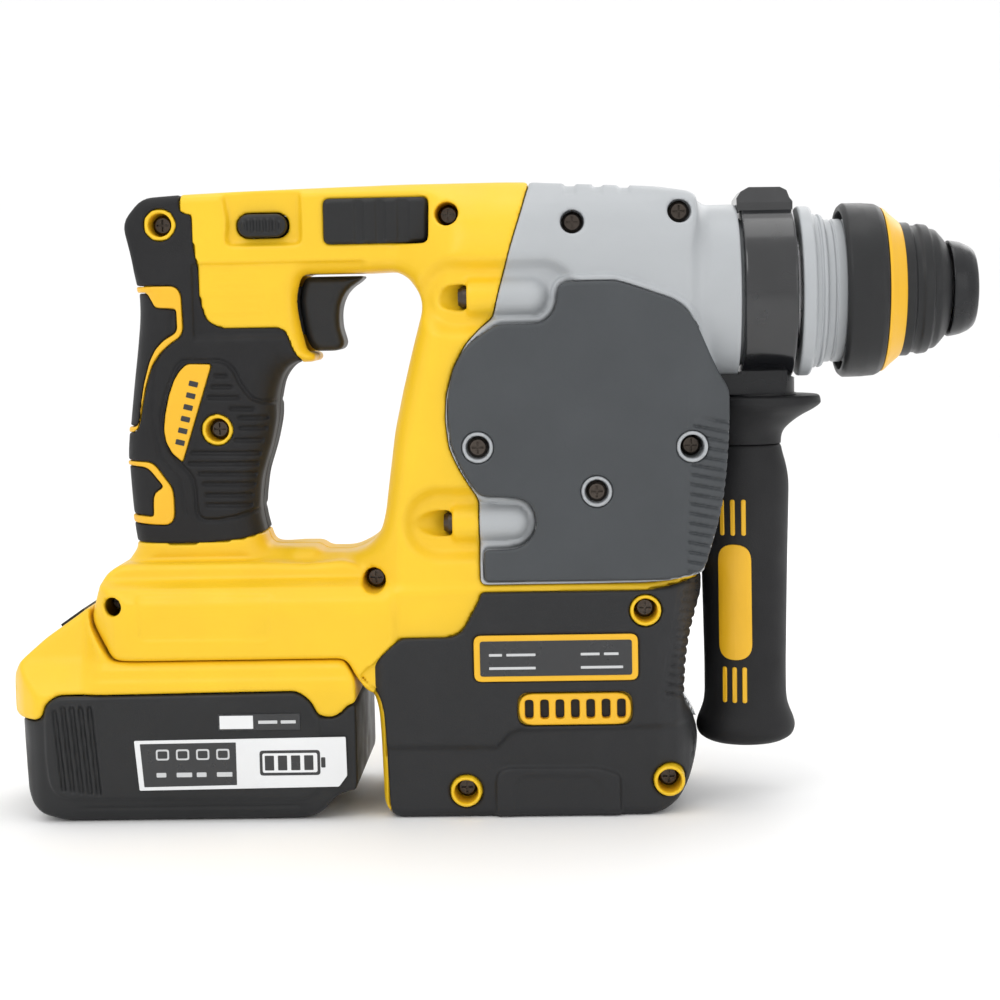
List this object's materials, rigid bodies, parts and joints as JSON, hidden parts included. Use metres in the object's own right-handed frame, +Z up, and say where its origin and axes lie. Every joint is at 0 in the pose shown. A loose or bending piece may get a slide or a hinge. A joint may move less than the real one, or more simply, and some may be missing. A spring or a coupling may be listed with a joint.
{
  "type": "rotary hammer",
  "caption": "Cordless L-shaped rotary hammer with D-handle, slide-on battery, quick-release tool holder and swivelling side grip.",
  "frame": {"origin": "on the spindle axis at the mouth of the tool-holder bore", "axes": "+X forward out of the bore, +Z up, the machine's right-hand side is -Y"},
  "size_m": [0.344, 0.0808, 0.2196],
  "materials": {
    "yellow_plastic": "satin, fine moulded texture",
    "black_rubber": "soft-touch, matte",
    "grey_casting": "satin, fine texture",
    "black_plastic": "satin",
    "dark_label": "printed film",
    "steel": "machined",
    "black_steel": "gloss black",
    "dark_screw": "phosphated",
    "cast_alloy": "as cast",
    "copper": "enamelled winding",
    "board": "coated board",
    "clear_lens": "clear",
    "cell_wrap": "shrink film",
    "seal_rubber": "matte"
  },
  "bodies": {
    "housing": {"right_handle_shell": "yellow_plastic", "left_handle_shell": "yellow_plastic", "grip_rubber_right": "black_rubber", "grip_rubber_left": "black_rubber", "gear_case_right": "grey_casting", "gear_case_left": "grey_casting", "case_pads": "black_rubber", "motor_skins": "black_rubber", "name_plates": "dark_label", "vent_louvres": "yellow_plastic", "ribbed_pads": "black_rubber", "neck_rings": "grey_casting", "front_seal": "seal_rubber", "gear_frame": "cast_alloy", "bearings": "steel", "motor_stator": "copper", "controller_board": "board", "trigger_switch": "black_plastic", "trigger_spring": "steel", "led_lens": "clear_lens", "terminal_block": "black_plastic", "casing_screws": "dark_screw", "tower_screws": "dark_screw"},
    "motor": {"motor_shaft": "steel", "motor_rotor": "steel", "motor_fan": "black_plastic"},
    "crank_gear": {"crank": "steel"},
    "clutch_gear": {"clutch_shaft": "steel"},
    "spindle_line": {"spindle": "steel", "ring_gear": "steel", "nose_cap": "black_plastic", "locking_balls": "steel", "chuck_spring": "steel"},
    "sleeve": {"locking_sleeve": "black_plastic", "sleeve_ring": "yellow_plastic"},
    "piston_line": {"piston": "steel", "wrist_pin": "steel"},
    "rod": {"con_rod": "steel", "crank_pin": "steel"},
    "striker_line": {"striker": "steel"},
    "beat_line": {"beat_piece": "steel"},
    "trigger_lever": {"trigger": "black_plastic"},
    "direction_selector": {"direction_button": "black_plastic"},
    "mode_selector": {"mode_knob": "black_plastic"},
    "side_handle": {"clamp_band": "black_steel", "clamp_saddle": "black_plastic", "clamp_base": "black_plastic", "handle_bolt": "steel", "grip_washer": "black_plastic", "hand_guard": "black_rubber"},
    "grip": {"side_grip": "black_rubber", "side_grip_inlay": "yellow_plastic"},
    "battery": {"battery_top_case": "yellow_plastic", "battery_bottom_case": "black_plastic", "battery_labels": "dark_label", "battery_cells": "cell_wrap", "cell_holder": "black_plastic", "battery_terminal": "copper", "latch_spring": "steel"},
    "latch": {"latch_button": "black_plastic"}
  },
  "joints": [
    {"name": "motor_spin", "type": "hinge", "parent": "housing", "child": "motor", "pos_m": [-0.141, 0, -0.1], "axis": [0, 0, 1], "continuous": true},
    {"name": "crank_spin", "type": "hinge", "parent": "housing", "child": "crank_gear", "pos_m": [-0.161, 0, -0.05], "axis": [0, 0, 1], "continuous": true},
    {"name": "clutch_spin", "type": "hinge", "parent": "housing", "child": "clutch_gear", "pos_m": [-0.121, 0, -0.05], "axis": [0, 0, 1], "continuous": true},
    {"name": "spindle_spin", "type": "hinge", "parent": "housing", "child": "spindle_line", "pos_m": [0, 0, 0], "axis": [1, 0, 0], "continuous": true},
    {"name": "sleeve_pull", "type": "slide", "parent": "spindle_line", "child": "sleeve", "axis": [-1, 0, 0], "range_m": [0, 0.008], "stiffness_N_per_m": 1500, "springref_m": -0.002, "deforming": ["chuck_spring"]},
    {"name": "piston_slide", "type": "slide", "parent": "housing", "child": "piston_line", "axis": [1, 0, 0], "range_m": [-0.016, 0]},
    {"name": "rod_swing", "type": "hinge", "parent": "piston_line", "child": "rod", "pos_m": [-0.125, 0, 0], "axis": [0, 0, 1], "range_deg": [-16.6, 16.6]},
    {"name": "striker_slide", "type": "slide", "parent": "housing", "child": "striker_line", "axis": [1, 0, 0], "range_m": [0, 0.006]},
    {"name": "beat_slide", "type": "slide", "parent": "housing", "child": "beat_line", "axis": [1, 0, 0], "range_m": [-0.006, 0]},
    {"name": "trigger_pull", "type": "slide", "parent": "housing", "child": "trigger_lever", "axis": [-1, 0, 0], "range_m": [0, 0.007], "stiffness_N_per_m": 800, "springref_m": -0.002, "deforming": ["trigger_spring"]},
    {"name": "direction_shift", "type": "slide", "parent": "housing", "child": "direction_selector", "axis": [0, 1, 0], "range_m": [-0.003, 0.003]},
    {"name": "mode_turn", "type": "hinge", "parent": "housing", "child": "mode_selector", "pos_m": [-0.132, 0.034, -0.024], "axis": [0, 1, 0], "range_deg": [-90, 90]},
    {"name": "handle_turn", "type": "hinge", "parent": "housing", "child": "side_handle", "pos_m": [-0.0738, 0, 0], "axis": [1, 0, 0], "range_deg": [0, 200]},
    {"name": "grip_twist", "type": "hinge", "parent": "side_handle", "child": "grip", "pos_m": [-0.0816, 0, -0.1], "axis": [0, 0, 1], "range_deg": [-180, 180]},
    {"name": "battery_slide", "type": "slide", "parent": "housing", "child": "battery", "axis": [-1, 0, 0], "range_m": [0, 0.09]},
    {"name": "latch_press", "type": "slide", "parent": "battery", "child": "latch", "axis": [0.5639, 0, -0.8258], "range_m": [0, 0.0025], "stiffness_N_per_m": 1500, "springref_m": -0.001, "deforming": ["latch_spring"]}
  ],
  "couplings": [
    {"joint": "crank_spin", "follows": "motor_spin", "ratio": -0.21212},
    {"joint": "clutch_spin", "follows": "motor_spin", "ratio": -0.21212},
    {"joint": "spindle_spin", "follows": "motor_spin", "ratio": -0.077135}
  ]
}
